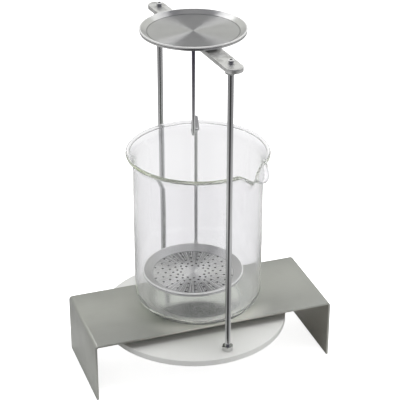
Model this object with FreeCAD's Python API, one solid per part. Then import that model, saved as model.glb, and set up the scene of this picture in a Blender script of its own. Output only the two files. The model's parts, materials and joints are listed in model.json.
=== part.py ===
"""Density kit for a laboratory balance, as an assembly of its separate pieces.

A bent sheet bridge stands over the balance's pan seat and carries a glass beaker.  A carrier takes
the pan's place: a hub, a disc, two rods and a crossbar.  A weighing dish sits on the crossbar, and a
perforated immersion dish hangs from it, inside the beaker.

Millimetres, +Z up.  The origin is on the surface that the kit stands on, under the bridge's centre.
X runs along the bridge and +Y points to its rear edge.
"""
import FreeCAD, Part
import math
import os

Vector = FreeCAD.Vector

# ---- Bridge: one strip of sheet, bent down at both ends ---------------------------------------
bridge_length = 175.0
bridge_width = 70.0
bridge_height = 44.0
bridge_sheet = 1.5
bridge_bend_radius = 1.0            # inside the bend
bridge_edge_break = 0.2             # broken edges of the cut sheet

# ---- Glass beaker: low form, flared rim with a bead and a pouring spout -----------------------
beaker_diameter = 90.0
beaker_height = 118.6
beaker_wall = 1.5
beaker_base = 2.5
beaker_corner_radius = 12.0
beaker_x, beaker_y = 0.0, 2.7       # where it stands on the bridge
flare_radius = 10.75                # of the wall's middle line, where it turns outwards
flare_angle = 52.0
bead_radius = 1.3
spout_direction = -58.0             # degrees from +X
spout_reach = 8.0                   # past the rim's outer edge
spout_top_radius = 14.0
spout_foot_radius = 2.0
spout_depth = 16.0

# ---- Carrier: hub, disc, rods and crossbar ----------------------------------------------------
carrier_x, carrier_y = -4.2, 0.0    # its axis, seen from the bridge's centre
carrier_turn = 5.35                 # how far it is turned on the balance, in degrees
bridge_clearance = 6.0              # between the disc and the bridge's underside
hub_diameter = 30.0
hub_bore_diameter = 8.2             # for the balance's pan pin
hub_bore_depth = 24.0
hub_edge_break = 0.8
spigot_diameter = 12.0
spigot_height = 3.5
disc_margin = 9.5                   # of the disc past the rods' middle lines
disc_thickness = 4.5
disc_edge_break = 0.5
rod_diameter = 4.0
rod_clearance = 9.5                 # between each rod and the beaker's body
rod_recess = 0.3                    # of the rod's lower end above the disc's underside
rod_edge_break = 0.4
bar_width = 12.0
bar_thickness = 3.0
bar_overhang = 4.5                  # from each rod's middle line to the centre of the bar's round end
stud_height = 3.0                   # of the rod above the crossbar
socket_across_flats = 2.0           # hexagon socket in the rod's upper end
socket_depth = 1.6
rod_nut_across_flats = 7.0
rod_nut_height = 3.2

# ---- Weighing dish, its post and its nut ------------------------------------------------------
dish_clearance = 8.0                # between the immersion dish and the beaker's wall
weighing_cone_width = 4.7           # of the sloping rim
weighing_dish_depth = 2.4
dish_floor_thickness = 1.0
dish_lip = 0.5                      # flat ring along the top of the rim
dish_edge_height = 2.7              # upright edge of the rim
dish_cone_start = 0.3               # share of the cone's width where its underside starts
dish_pin_diameter = 3.0             # under the dish, which drops into the post
dish_pin_length = 2.8
dish_pin_edge_break = 0.3
post_head_diameter = 14.0
post_head_height = 1.2
post_bore_depth = 3.0               # below the head's top
post_stud_diameter = 5.0
post_stud_length = 8.5              # below the head
post_nut_across_flats = 8.0
post_nut_height = 2.7

# ---- Hanger rod with its hook, and the immersion dish on its wire -----------------------------
wire_diameter = 2.5                 # of the hanger rod and of the dish's wire
hanger_drop = 70.6                  # from the crossbar's underside to the hook's lowest middle line
hanger_thread_length = 5.0          # inside the post
hook_radius = 4.0                   # of the hook's middle line
hook_tip_length = 3.0               # straight end past the half turn
hook_turn = -22.55                  # of the hook's plane from the carrier's rods, in degrees
hook_clearance = 12.3               # from the beaker's rim up to the hook's lowest middle line
immersion_cone_width = 6.5          # of the sloping rim
immersion_dish_depth = 3.3
immersion_rim_height = 27.6         # of the rim above the bridge
seat_side = 0.4                     # the hook's seat over the dish's centre of mass, so that the
seat_back = 3.6                     # dish hangs level: sideways and towards the wire
arm_side = 2.9                      # of the wire's arm beside the hook
arm_dip = 4.8                       # fall of the arm from the hook to the riser
arm_bend_radius = 4.5
seat_bend_radius = 2.0
seat_overhang = 1.6                 # of the wire's end past the hook's plane
riser_foot = 3.0                    # of the riser below the dish's rim
weld_radius = 1.9
weld_inset = 0.3                    # of the weld's ends from the rim's edge
hole_diameter = 1.7                 # perforation: staggered rings of holes
hole_ring_count = 8
holes_per_ring = 12
first_ring_radius = 8.7
last_ring_margin = 1.4              # from the last ring's middle line to the floor's edge
hole_phase = 32.5                   # of the first ring from the wire's side, in degrees

# ---- Clearances -------------------------------------------------------------------------------
turning_clearance = 0.05            # radial, between pieces that turn or lift on each other
thread_clearance = 0.02             # radial, between a thread's crest and its hole
hanging_gap = 0.1                   # between the hook and the wire that hangs in it
touching_gap = 0.05                 # between round pieces that are welded together

# ---- Heights and radii that follow ------------------------------------------------------------
disc_top = bridge_height - bridge_sheet - bridge_clearance
hub_height = disc_top - disc_thickness
rod_spacing = beaker_diameter + 2 * rod_clearance + rod_diameter
disc_diameter = rod_spacing + 2 * disc_margin
hook_bottom = bridge_height + beaker_height + hook_clearance
hook_centre = hook_bottom + hook_radius
seat_height = hook_bottom + wire_diameter + hanging_gap
bar_bottom = hook_bottom + hanger_drop
bar_top = bar_bottom + bar_thickness
dish_diameter = beaker_diameter - 2 * beaker_wall - 2 * dish_clearance
dish_bottom = bar_top + post_head_height
dish_top = dish_bottom + dish_floor_thickness + weighing_dish_depth
immersion_rim = bridge_height + immersion_rim_height
immersion_drop = seat_height - immersion_rim
rod_radius = rod_diameter / 2
wire_radius = wire_diameter / 2
beaker_radius = beaker_diameter / 2

UP = Vector(0, 0, 1)
ORIGIN = Vector(0, 0, 0)


def turned(points):
    """Revolves a closed outline of (radius, height) points about the Z axis."""
    corners = [Vector(radius, 0, height) for radius, height in points]
    outline = Part.makePolygon(corners + corners[:1])
    return Part.Face(outline).revolve(ORIGIN, UP, 360)


def cylinder(radius, bottom, top, x=0.0, y=0.0):
    return Part.makeCylinder(radius, top - bottom, Vector(x, y, bottom))


def hexagon_prism(across_flats, bottom, top, x=0.0, y=0.0):
    corner_radius = across_flats / math.sqrt(3)
    corners = []
    for index in range(6):
        angle = math.radians(60 * index)
        corners.append(Vector(x + corner_radius * math.cos(angle),
                              y + corner_radius * math.sin(angle), bottom))
    face = Part.Face(Part.makePolygon(corners + corners[:1]))
    return face.extrude(UP * (top - bottom))


def hexagon_nut(across_flats, height, bore_radius, bottom, x=0.0, y=0.0):
    """A hexagon nut with chamfered corners, standing on the height given as bottom."""
    corner_radius = across_flats / math.sqrt(3)
    chamfer = (corner_radius - across_flats / 2) * 0.6
    top = bottom + height
    envelope = turned([(0, bottom), (across_flats / 2, bottom), (corner_radius, bottom + chamfer),
                       (corner_radius, top - chamfer), (across_flats / 2, top), (0, top)])
    envelope.translate(Vector(x, y, 0))
    nut = hexagon_prism(across_flats, bottom, top, x, y).common(envelope)
    return nut.cut(cylinder(bore_radius, bottom - 1, top + 1, x, y))


def line(start, end):
    return Part.LineSegment(start, end).toShape()


def rounded_path(points, radii):
    """A wire of straight runs through the points, with an arc of the given radius at each corner."""
    edges = []
    start = points[0]
    for before, corner, after, radius in zip(points, points[1:], points[2:], radii):
        towards_before = (before - corner).normalize()
        towards_after = (after - corner).normalize()
        half_angle = towards_before.getAngle(towards_after) / 2
        setback = radius / math.tan(half_angle)
        middle_direction = (towards_before + towards_after).normalize()
        middle = corner + middle_direction * (radius / math.sin(half_angle) - radius)
        arc_start = corner + towards_before * setback
        arc_end = corner + towards_after * setback
        edges.append(line(start, arc_start))
        edges.append(Part.Arc(arc_start, middle, arc_end).toShape())
        start = arc_end
    edges.append(line(start, points[-1]))
    return Part.Wire(edges)


def round_wire(path, radius):
    """Sweeps a circle along a path that starts upright."""
    start = path.Edges[0].Vertexes[0].Point
    section = Part.Wire(Part.makeCircle(radius, start, UP))
    return path.makePipeShell([section], True, True)


def on_carrier(shape):
    """Moves a shape from the carrier's own frame to its place over the bridge."""
    shape.rotate(ORIGIN, UP, carrier_turn)
    shape.translate(Vector(carrier_x, carrier_y, 0))
    return shape


# ---- Bridge -----------------------------------------------------------------------------------
def make_bridge_platform():
    outer_radius = bridge_bend_radius + bridge_sheet
    half_length = bridge_length / 2
    rear = bridge_width / 2

    def block(half_span, top, radius):
        solid = Part.makeBox(2 * half_span, bridge_width, top, Vector(-half_span, -rear, 0))
        upper_edges = [edge for edge in solid.Edges
                       if abs(edge.BoundBox.ZMin - top) < 1e-6
                       and abs(edge.BoundBox.YLength - bridge_width) < 1e-6]
        return solid.makeFillet(radius, upper_edges)

    outer = block(half_length, bridge_height, outer_radius)
    inner = block(half_length - bridge_sheet, bridge_height - bridge_sheet, bridge_bend_radius)
    bridge = outer.cut(inner)
    long_edges = [edge for edge in bridge.Edges
                  if edge.BoundBox.YLength < 1e-6 and edge.BoundBox.ZMin > bridge_height - 1e-6]
    return bridge.makeChamfer(bridge_edge_break, long_edges)


# ---- Beaker -----------------------------------------------------------------------------------
flare_centre_radius = beaker_radius - beaker_wall / 2 + flare_radius
flare_rise = flare_radius * math.sin(math.radians(flare_angle))
flare_start = beaker_height - bead_radius - flare_rise
bead_centre_radius = flare_centre_radius - flare_radius * math.cos(math.radians(flare_angle))
rim_radius = bead_centre_radius + bead_radius


def wall_outline(offset, bottom, corner_radius):
    """The beaker's side from its axis to the flare's end, at an offset from the wall's middle."""
    side = beaker_radius - beaker_wall / 2 + offset
    arc_radius = flare_radius - offset
    centre = Vector(flare_centre_radius, 0, flare_start)

    def flare_point(angle):
        angle = math.radians(angle)
        return centre + Vector(-math.cos(angle), 0, math.sin(angle)) * arc_radius

    def corner_point(angle):
        angle = math.radians(angle)
        middle = Vector(side - corner_radius, 0, bottom + corner_radius)
        return middle + Vector(math.sin(angle), 0, -math.cos(angle)) * corner_radius

    return [line(Vector(0, 0, bottom), corner_point(0)),
            Part.Arc(corner_point(0), corner_point(45), corner_point(90)).toShape(),
            line(corner_point(90), flare_point(0)),
            Part.Arc(flare_point(0), flare_point(flare_angle / 2),
                     flare_point(flare_angle)).toShape()]


def revolve_edges(edges):
    face = Part.Face(Part.Wire(edges))
    return face.revolve(ORIGIN, UP, 360)


def make_beaker():
    outer_edges = wall_outline(beaker_wall / 2, 0, beaker_corner_radius)
    inner_edges = wall_outline(-beaker_wall / 2, beaker_base, beaker_corner_radius - beaker_wall)
    outer_end = outer_edges[-1].Vertexes[-1].Point
    inner_end = inner_edges[-1].Vertexes[-1].Point
    axis_foot, axis_floor = Vector(0, 0, 0), Vector(0, 0, beaker_base)
    shell = revolve_edges([line(axis_floor, axis_foot)] + outer_edges
                          + [line(outer_end, inner_end)] + inner_edges[::-1])
    bead = Part.makeTorus(bead_centre_radius, bead_radius,
                          Vector(0, 0, beaker_height - bead_radius))
    axis_top = Vector(0, 0, inner_end.z)
    cavity = revolve_edges(inner_edges + [line(inner_end, axis_top), line(axis_top, axis_floor)])
    cavity = cavity.fuse(cylinder(inner_end.x, inner_end.z, beaker_height + 1))

    # the spout is a half funnel that stands in the rim, thinned to the wall's thickness
    funnel_offset = rim_radius + spout_reach - spout_top_radius
    direction = math.radians(spout_direction)
    foot = Vector(funnel_offset * math.cos(direction), funnel_offset * math.sin(direction),
                  beaker_height - spout_depth)
    funnel = Part.makeCone(spout_foot_radius, spout_top_radius, spout_depth, foot)
    funnel_bore = Part.makeCone(spout_foot_radius - beaker_wall, spout_top_radius - beaker_wall,
                                spout_depth, foot)
    mouth = cylinder(spout_top_radius - beaker_wall, beaker_height - 1e-3, beaker_height + 1,
                     foot.x, foot.y)
    funnel_bore = funnel_bore.fuse(mouth)
    beaker = shell.fuse(bead).fuse(funnel.cut(cavity)).cut(funnel_bore).removeSplitter()
    beaker.translate(Vector(beaker_x, beaker_y, bridge_height))
    return beaker


# ---- Carrier ----------------------------------------------------------------------------------
def make_adapter_hub():
    edge = hub_edge_break
    radius = hub_diameter / 2
    bore = hub_bore_diameter / 2
    spigot = spigot_diameter / 2
    top = hub_height + spigot_height
    hub = turned([(bore + edge, 0), (radius - edge, 0), (radius, edge), (radius, hub_height - edge),
                  (radius - edge, hub_height), (spigot, hub_height), (spigot, top - edge),
                  (spigot - edge, top), (0, top), (0, hub_bore_depth), (bore, hub_bore_depth),
                  (bore, edge)])
    return on_carrier(hub)


def make_carrier_disc():
    edge = disc_edge_break
    radius = disc_diameter / 2
    bore = spigot_diameter / 2 + turning_clearance
    disc = turned([(bore, hub_height), (radius - edge, hub_height), (radius, hub_height + edge),
                   (radius, disc_top - edge), (radius - edge, disc_top), (bore, disc_top)])
    for side in (-1, 1):
        rod_hole = cylinder(rod_radius + thread_clearance, hub_height - 1, disc_top + 1,
                            0, side * rod_spacing / 2)
        disc = disc.cut(rod_hole)
    return on_carrier(disc)


def make_rod(side):
    edge = rod_edge_break
    bottom = hub_height + rod_recess
    top = bar_top + stud_height
    rod = turned([(0, bottom), (rod_radius - edge, bottom), (rod_radius, bottom + edge),
                  (rod_radius, top - edge), (rod_radius - edge, top), (0, top)])
    rod = rod.cut(hexagon_prism(socket_across_flats, top - socket_depth, top + 1))
    rod.translate(Vector(0, side * rod_spacing / 2, 0))
    return on_carrier(rod)


def make_rod_nut(side, bottom):
    return on_carrier(hexagon_nut(rod_nut_across_flats, rod_nut_height,
                                  rod_radius + thread_clearance, bottom,
                                  0, side * rod_spacing / 2))


def make_crossbar():
    end_centre = rod_spacing / 2 + bar_overhang
    radius = bar_width / 2
    bar = Part.makeBox(bar_width, 2 * end_centre, bar_thickness,
                       Vector(-radius, -end_centre, bar_bottom))
    for side in (-1, 1):
        bar = bar.fuse(cylinder(radius, bar_bottom, bar_top, 0, side * end_centre))
    bar = bar.removeSplitter()
    for side in (-1, 1):
        bar = bar.cut(cylinder(rod_radius + thread_clearance, bar_bottom - 1, bar_top + 1,
                               0, side * rod_spacing / 2))
    bar = bar.cut(cylinder(post_stud_diameter / 2 + thread_clearance, bar_bottom - 1, bar_top + 1))
    return on_carrier(bar)


# ---- Weighing dish ----------------------------------------------------------------------------
def dish_profile(cone_width, depth, top):
    """Outline of a turned dish: a thin floor, a cone up to the lip and an upright outer edge."""
    radius = dish_diameter / 2
    floor_radius = radius - cone_width
    floor = top - depth
    bottom = floor - dish_floor_thickness
    edge_foot = top - dish_edge_height
    under_cone = floor_radius + cone_width * dish_cone_start
    return [(0, bottom), (under_cone, bottom), (radius, edge_foot), (radius, top),
            (radius - dish_lip, top), (floor_radius, floor), (0, floor)]


def make_weighing_dish():
    dish = turned(dish_profile(weighing_cone_width, weighing_dish_depth, dish_top))
    edge = dish_pin_edge_break
    radius = dish_pin_diameter / 2
    tip = dish_bottom - dish_pin_length
    pin = turned([(0, tip), (radius - edge, tip), (radius, tip + edge), (radius, dish_bottom),
                  (0, dish_bottom)])
    return on_carrier(dish.fuse(pin).removeSplitter())


def make_dish_post():
    head_top = bar_top + post_head_height
    stud_bottom = bar_top - post_stud_length
    post = cylinder(post_head_diameter / 2, bar_top, head_top)
    post = post.fuse(cylinder(post_stud_diameter / 2, stud_bottom, bar_top))
    post = post.cut(cylinder(dish_pin_diameter / 2 + turning_clearance,
                             head_top - post_bore_depth, head_top + 1))
    thread_hole = cylinder(wire_radius + thread_clearance, stud_bottom - 1,
                           stud_bottom + hanger_thread_length)
    return on_carrier(post.cut(thread_hole).removeSplitter())


def make_post_nut():
    return on_carrier(hexagon_nut(post_nut_across_flats, post_nut_height,
                                  post_stud_diameter / 2 + thread_clearance,
                                  bar_bottom - post_nut_height))


# ---- Hanger and immersion dish ----------------------------------------------------------------
def make_hanger_rod():
    """A straight rod whose lower end is bent into a hook, open towards the dish's wire."""
    top = bar_top - post_stud_length + hanger_thread_length
    path = Part.Wire([
        line(Vector(0, 0, top), Vector(0, 0, hook_centre)),
        Part.Arc(Vector(0, 0, hook_centre), Vector(0, hook_radius, hook_bottom),
                 Vector(0, 2 * hook_radius, hook_centre)).toShape(),
        line(Vector(0, 2 * hook_radius, hook_centre),
             Vector(0, 2 * hook_radius, hook_centre + hook_tip_length))])
    hanger = round_wire(path, wire_radius)
    hanger.rotate(ORIGIN, UP, hook_turn)
    return on_carrier(hanger)


def on_hook(shape):
    """Moves a shape from the dish's frame, whose origin is the rim's centre, onto the hook."""
    shape.translate(Vector(-seat_side, hook_radius - seat_back, immersion_rim))
    shape.rotate(ORIGIN, UP, hook_turn)
    return on_carrier(shape)


riser_distance = dish_diameter / 2 + wire_radius + touching_gap
riser_side = seat_side + arm_side
riser_back = math.sqrt(riser_distance ** 2 - riser_side ** 2)


def make_wire_shape():
    """Riser, arm and crosswise end of the wire, with the rim's centre as its origin."""
    points = [Vector(riser_side, riser_back, -riser_foot),
              Vector(riser_side, riser_back, immersion_drop - arm_dip),
              Vector(riser_side, seat_back, immersion_drop),
              Vector(seat_side - seat_overhang, seat_back, immersion_drop)]
    path = rounded_path(points, [arm_bend_radius, seat_bend_radius])
    return round_wire(path, wire_radius)


def make_immersion_shape():
    floor_top = -immersion_dish_depth
    last_ring_radius = dish_diameter / 2 - immersion_cone_width - last_ring_margin
    ring_step = (last_ring_radius - first_ring_radius) / (hole_ring_count - 1)
    dish = turned(dish_profile(immersion_cone_width, immersion_dish_depth, 0))
    holes = []
    for ring in range(hole_ring_count):
        radius = first_ring_radius + ring * ring_step
        stagger = 180 / holes_per_ring * (ring % 2)
        for index in range(holes_per_ring):
            angle = math.radians(hole_phase + stagger + 360 / holes_per_ring * index)
            holes.append(cylinder(hole_diameter / 2, floor_top - dish_floor_thickness - 1,
                                  floor_top + 1, radius * math.cos(angle),
                                  radius * math.sin(angle)))
    return dish.cut(Part.makeCompound(holes))


def make_rim_weld():
    """The bead that joins the riser to the rim, on both sides of their line of contact."""
    touch_ratio = (dish_diameter / 2) / riser_distance
    bead = cylinder(weld_radius, weld_inset - dish_edge_height, -weld_inset,
                    riser_side * touch_ratio, riser_back * touch_ratio)
    rim = cylinder(dish_diameter / 2, -dish_edge_height, 0)
    return bead.cut(make_wire_shape()).cut(rim)


# ---- Write every piece ------------------------------------------------------------------------
pieces = {
    "bridge_platform": make_bridge_platform(),
    "beaker": make_beaker(),
    "adapter_hub": make_adapter_hub(),
    "carrier_disc": make_carrier_disc(),
    "crossbar": make_crossbar(),
    "dish_post": make_dish_post(),
    "post_nut": make_post_nut(),
    "weighing_dish": make_weighing_dish(),
    "hanger_rod": make_hanger_rod(),
    "immersion_dish": on_hook(make_immersion_shape()),
    "dish_wire": on_hook(make_wire_shape()),
    "rim_weld": on_hook(make_rim_weld()),
}
for end_name, end_side in (("front", -1), ("rear", 1)):
    pieces[end_name + "_rod"] = make_rod(end_side)
    pieces[end_name + "_base_nut"] = make_rod_nut(end_side, disc_top)
    pieces[end_name + "_bar_nut"] = make_rod_nut(end_side, bar_bottom - rod_nut_height)

os.makedirs("parts", exist_ok=True)
for name, shape in pieces.items():
    shape.exportStep("parts/" + name + ".step")
    box = shape.BoundBox
    print(f"{name:16s} solids {len(shape.Solids)} valid {shape.isValid()} volume {shape.Volume:9.1f}"
          f"  z {box.ZMin:7.2f} to {box.ZMax:7.2f}")
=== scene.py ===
# %% [markdown]
# # A density kit for a laboratory balance
#
# A bent sheet bridge carries the glass beaker without touching the balance's pan seat. A carrier
# stands on that seat: a disc, two rods and a crossbar. The upper dish sits on the crossbar, and the
# lower, perforated dish hangs from it into the beaker.
#
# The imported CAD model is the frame. It says where everything is, so each piece below is built from
# its node's box and lands in the right place with no fitting.

import json
from math import atan2, ceil, cos, degrees, dist, pi, radians, remainder, sin, sqrt, tan, tau

import bmesh
import bpy
from mathutils import Matrix, Vector


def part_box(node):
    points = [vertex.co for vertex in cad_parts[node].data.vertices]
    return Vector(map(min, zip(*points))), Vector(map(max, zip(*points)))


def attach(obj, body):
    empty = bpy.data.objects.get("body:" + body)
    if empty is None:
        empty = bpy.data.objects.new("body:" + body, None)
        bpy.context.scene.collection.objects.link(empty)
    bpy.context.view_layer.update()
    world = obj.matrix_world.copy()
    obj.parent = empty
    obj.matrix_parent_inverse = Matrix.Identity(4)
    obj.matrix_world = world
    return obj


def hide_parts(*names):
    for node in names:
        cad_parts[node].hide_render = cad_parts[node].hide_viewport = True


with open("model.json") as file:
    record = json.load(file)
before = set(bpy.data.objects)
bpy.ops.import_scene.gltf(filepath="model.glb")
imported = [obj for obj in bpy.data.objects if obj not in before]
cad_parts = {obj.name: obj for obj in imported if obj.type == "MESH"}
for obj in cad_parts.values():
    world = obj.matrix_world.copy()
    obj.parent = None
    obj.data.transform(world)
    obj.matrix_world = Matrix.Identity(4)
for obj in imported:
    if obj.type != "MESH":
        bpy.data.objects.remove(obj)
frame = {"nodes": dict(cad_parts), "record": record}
scene = bpy.context.scene
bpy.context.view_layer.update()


# %% Things in the scene
def placed(name, data):
    """A new object in the scene."""
    thing = bpy.data.objects.new(name, data)
    scene.collection.objects.link(thing)
    return thing


def mesh_of(name, points, faces=(), edges=()):
    mesh = bpy.data.meshes.new(name)
    mesh.from_pydata(points, edges, faces)
    return mesh

# %% [markdown]
# ## One way to write node trees
#
# Shader trees and geometry trees are the same thing to Python: nodes with sockets. A small class
# wraps a socket and gives it the arithmetic operators, so that a pattern reads as a formula. Any
# other node comes from one method, which takes the node's type, its settings and its sockets.

# %% Sockets that calculate
def operator(operation, reflected=False):
    """A method that adds a Math node, with its own signal first or, if reflected, second."""
    def method(self, other=0.0):
        first, second = (other, self) if reflected else (self, other)
        return self.graph.math(operation, first, second)
    return method


class Signal:
    """What comes out of a socket. Arithmetic on it adds Math nodes to its tree."""

    def __init__(self, graph, socket):
        self.graph = graph
        self.socket = socket

    __add__ = __radd__ = operator("ADD")
    __sub__, __rsub__ = operator("SUBTRACT"), operator("SUBTRACT", reflected=True)
    __mul__ = __rmul__ = operator("MULTIPLY")
    __truediv__, __pow__ = operator("DIVIDE"), operator("POWER")
    __gt__, __lt__ = operator("GREATER_THAN"), operator("LESS_THAN")
    __abs__ = operator("ABSOLUTE")

    def between(self, low, high):
        """1 where the value lies between two limits, and 0 elsewhere."""
        return (self > low) * (self < high)

    def clamped(self):
        return self.graph.node("ShaderNodeClamp", {}, {"Value": self})


class Graph:
    """A node tree that is written as expressions."""

    def __init__(self, tree):
        self.tree = tree

    def node(self, kind, settings=None, sockets=None, output=0):
        """Adds a node: its settings first, then the value or link of each socket."""
        made = self.tree.nodes.new(kind)
        for name, value in (settings or {}).items():
            setattr(made, name, value)
        for name, value in (sockets or {}).items():
            self.feed(made.inputs[name], value)
        return Signal(self, made.outputs[output])

    def feed(self, socket, value):
        """Links a signal to a socket, or sets a plain value on it."""
        if isinstance(value, Signal):
            self.tree.links.new(value.socket, socket)
        else:
            socket.default_value = value

    def math(self, operation, first, second=0.0):
        return self.node("ShaderNodeMath", {"operation": operation}, {0: first, 1: second})

    def measured(self, operation, first, second=(0.0, 0.0, 0.0)):
        """The number that one or two vectors give, such as a length or a distance."""
        return self.node("ShaderNodeVectorMath", {"operation": operation}, {0: first, 1: second},
                         output="Value")

    def vector(self, x, y, z):
        return self.node("ShaderNodeCombineXYZ", {}, {"X": x, "Y": y, "Z": z})

    def part(self, vector, axis):
        return self.node("ShaderNodeSeparateXYZ", {}, {"Vector": vector}, output=axis)

    def ramp(self, value, *stops):
        """A level that follows a value. Each stop is a value and the level there."""
        start, span = stops[0][0], stops[-1][0] - stops[0][0]
        made = self.node("ShaderNodeValToRGB", {}, {"Fac": (value - start) / span})
        elements = made.socket.node.color_ramp.elements
        while len(elements) < len(stops):
            elements.new(1.0)
        for element, (place, level) in zip(elements, stops):
            element.position, element.color = (place - start) / span, (level, level, level, 1.0)
        return made

    def mix_colors(self, factor, first, second):
        first, second = [(*color, 1.0) if isinstance(color, tuple) else color
                         for color in (first, second)]
        return self.node("ShaderNodeMix", {"data_type": "RGBA"}, {0: factor, 6: first, 7: second},
                         output=2)

# %% [markdown]
# ## The camera
#
# So its upright rods stay almost parallel. The distance and direction are given from a point on
# the beaker's axis, and the lens's focal length is that of a 36 mm wide sensor.

# %% Camera
camera_target = Vector((-1.882, 0.0, 129.661)) / 1000
camera_azimuth = radians(-19.184)  # 0 looks along +Y
camera_elevation = radians(27.609)
camera_distance = 0.989209

lens = bpy.data.cameras.new("camera")
lens.sensor_width, lens.lens = 36.0, 128.664
lens.shift_x, lens.shift_y = 0.0081, -0.0139
lens.clip_start, lens.clip_end = 0.01, 50.0
camera = placed("camera", lens)
front = Vector((sin(camera_azimuth), -cos(camera_azimuth), 0.0))  # level, to the camera
towards_camera = front * cos(camera_elevation) + Vector((0.0, 0.0, sin(camera_elevation)))
camera.rotation_mode = "QUATERNION"
camera.rotation_quaternion = (-towards_camera).to_track_quat("-Z", "Y")
camera.location = camera_target + towards_camera * camera_distance
scene.camera = camera
print("camera stands at", [round(place, 3) for place in camera.location])

# %% [markdown]
# ## Finishes
#
# Nearly everything here is stainless steel, and what tells its pieces apart is how each was worked:
# brushed, turned, drawn or blasted. So each finish has its own roughness, grain and tool marks,
# places where it is worn or stained, and places painted lighter or darker as painted light and
# shade. Patterns read Object coordinates in millimetres, which stay with the piece when it moves.

# %% A finish and its patterns
class Finish(Graph):
    """A material whose patterns are in millimetres from a chosen centre."""

    def __init__(self, name, centre=(0.0, 0.0, 0.0), turn=0.0, **plain):
        self.material = bpy.data.materials.new(name)
        self.material.use_nodes = True
        super().__init__(self.material.node_tree)
        self.shader = self.tree.nodes["Principled BSDF"]
        for socket, value in plain.items():
            self.give(socket.replace("_", " "), value)
        coordinates = self.node("ShaderNodeTexCoord", output="Object")
        self.place = self.node("ShaderNodeMapping", {"vector_type": "TEXTURE"},
                               {"Vector": coordinates, "Rotation": (0.0, 0.0, turn),
                                "Location": [side / 1000 for side in centre],
                                "Scale": (0.001,) * 3})
        print("finish:", name)

    def give(self, socket, value):
        """Sets or links a socket of the shader."""
        self.feed(self.shader.inputs[socket], value)

    def axis(self, name):
        return self.part(self.place, name)

    def scaled(self, x, y, z):
        return self.node("ShaderNodeVectorMath", {"operation": "MULTIPLY"},
                         {0: self.place, 1: (x, y, z)})

    def from_axis(self):
        """The distance from the Z axis of the pattern's centre."""
        return self.measured("LENGTH", self.scaled(1.0, 1.0, 0.0))

    def noise(self, detail=2.0, **where):
        """Noise from 0 to 1, along a value W or at a place Vector."""
        return self.node("ShaderNodeTexNoise", {"noise_dimensions": "1D" if "W" in where else "3D"},
                         {**where, "Scale": 1.0, "Detail": detail})

    def grain(self, per_mm, detail=2.0):
        """Noise with this many grains per millimetre, or with so many along each axis."""
        counts = per_mm if isinstance(per_mm, tuple) else (per_mm,) * 3
        return self.noise(detail, Vector=self.scaled(*counts))

    def patches(self, per_mm, low, high, detail=3.0):
        """1 where the grain is above one level, 0 where it is below the other."""
        return self.ramp(self.grain(per_mm, detail), (low, 0), (high, 1))

    def rings(self, per_mm, detail):
        """Noise that changes only away from the axis, as a lathe tool's marks do."""
        return self.noise(detail, W=self.from_axis() * per_mm)

    def spokes(self, per_radian):
        """Noise that changes only round the axis."""
        return self.noise(W=self.math("ARCTAN2", self.axis("Y"), self.axis("X")) * per_radian)

    def colored(self, factor, first, second):
        self.give("Base Color", self.mix_colors(factor, first, second))

    def overlaid(self, mask, color):
        """Lays one more colour over those that are there, where the mask is 1."""
        below = self.shader.inputs["Base Color"].links[0].from_socket
        self.colored(mask, Signal(self, below), color)

    def rough(self, value):
        self.give("Roughness", value)

    def bumped(self, height, depth_mm):
        self.give("Normal", self.node("ShaderNodeBump", {},
                                      {"Height": height, "Distance": depth_mm / 1000}))

# %% [markdown]
# ## The studio
#
# The stage is a pale floor under a soft sky. The Light Path node tells the rays of the camera, of
# mirrors and of glass from those that light a matt surface.

# %% Kinds of ray
def ray(graph, fact):
    return graph.node("ShaderNodeLightPath", output=fact)


def path_is(graph, *kinds):
    """1 for rays of these kinds, and 0 for all others."""
    return sum(ray(graph, f"Is {kind} Ray") for kind in kinds).clamped()


def mirror_sees(graph, mirrors=1):
    """1 for rays that so many mirrors sent here, also those that went on through glass."""
    return (ray(graph, "Glossy Depth") > mirrors - 0.5) * (1.0 - path_is(graph, "Diffuse"))


# %% Sky
bright_color = (0.63, 0.635, 0.61)  # of the belt of sky that metal mirrors
dim_color = (0.075, 0.075, 0.095)  # above and below it, and towards the camera
overhead_color = (0.45,) * 3
glass_share = 1.35  # of all that, where a mirrored ray then passes glass
sky_light = 0.50  # of the sky as a light

world = bpy.data.worlds.new("studio_sky")
world.use_nodes = True
sky = Graph(world.node_tree)
direction = sky.node("ShaderNodeTexCoord", output="Generated")
height = sky.part(direction, "Z")
belt = sky.ramp(height, (0.12, 0), (0.22, 1), (0.58, 1), (0.72, 0))
behind = sky.ramp(sky.measured("DOT_PRODUCT", direction, front), (0.0, 1), (0.5, 0))
overhead = sky.ramp(height, (0.90, 0), (0.95, 1))
mirrored = sky.mix_colors(belt * behind, dim_color, bright_color)
mirrored = sky.mix_colors(overhead, mirrored, overhead_color)
shown = sky.mix_colors(path_is(sky, "Camera", "Transmission"), (sky_light,) * 3, (1.0, 1.0, 1.0))
background = world.node_tree.nodes["Background"]
metal_sees = mirror_sees(sky)
sky.feed(background.inputs["Color"], sky.mix_colors(metal_sees, shown, mirrored))
sky.feed(background.inputs["Strength"],
         1.0 + metal_sees * path_is(sky, "Transmission") * (glass_share - 1.0))
scene.world = world
scene.view_settings.view_transform = "Standard"
print("the sky lights at", sky_light)

# %% Floor
floor_size, floor_drop = 6.0, 0.0002
floor_color = 0.80
floor_lift = 0.78  # light added for the camera, so that the bare floor reads as white
glass_lift = 0.12  # and for the glass, through which it reads as pale grey

# Past a second mirror the pattern is half as strong.
shares = [(90.0, 1.0), (130.0, 0.5), (180.0, 0.5), (250.0, 0.85), (500.0, 0.45)]
front_share = 0.12

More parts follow.
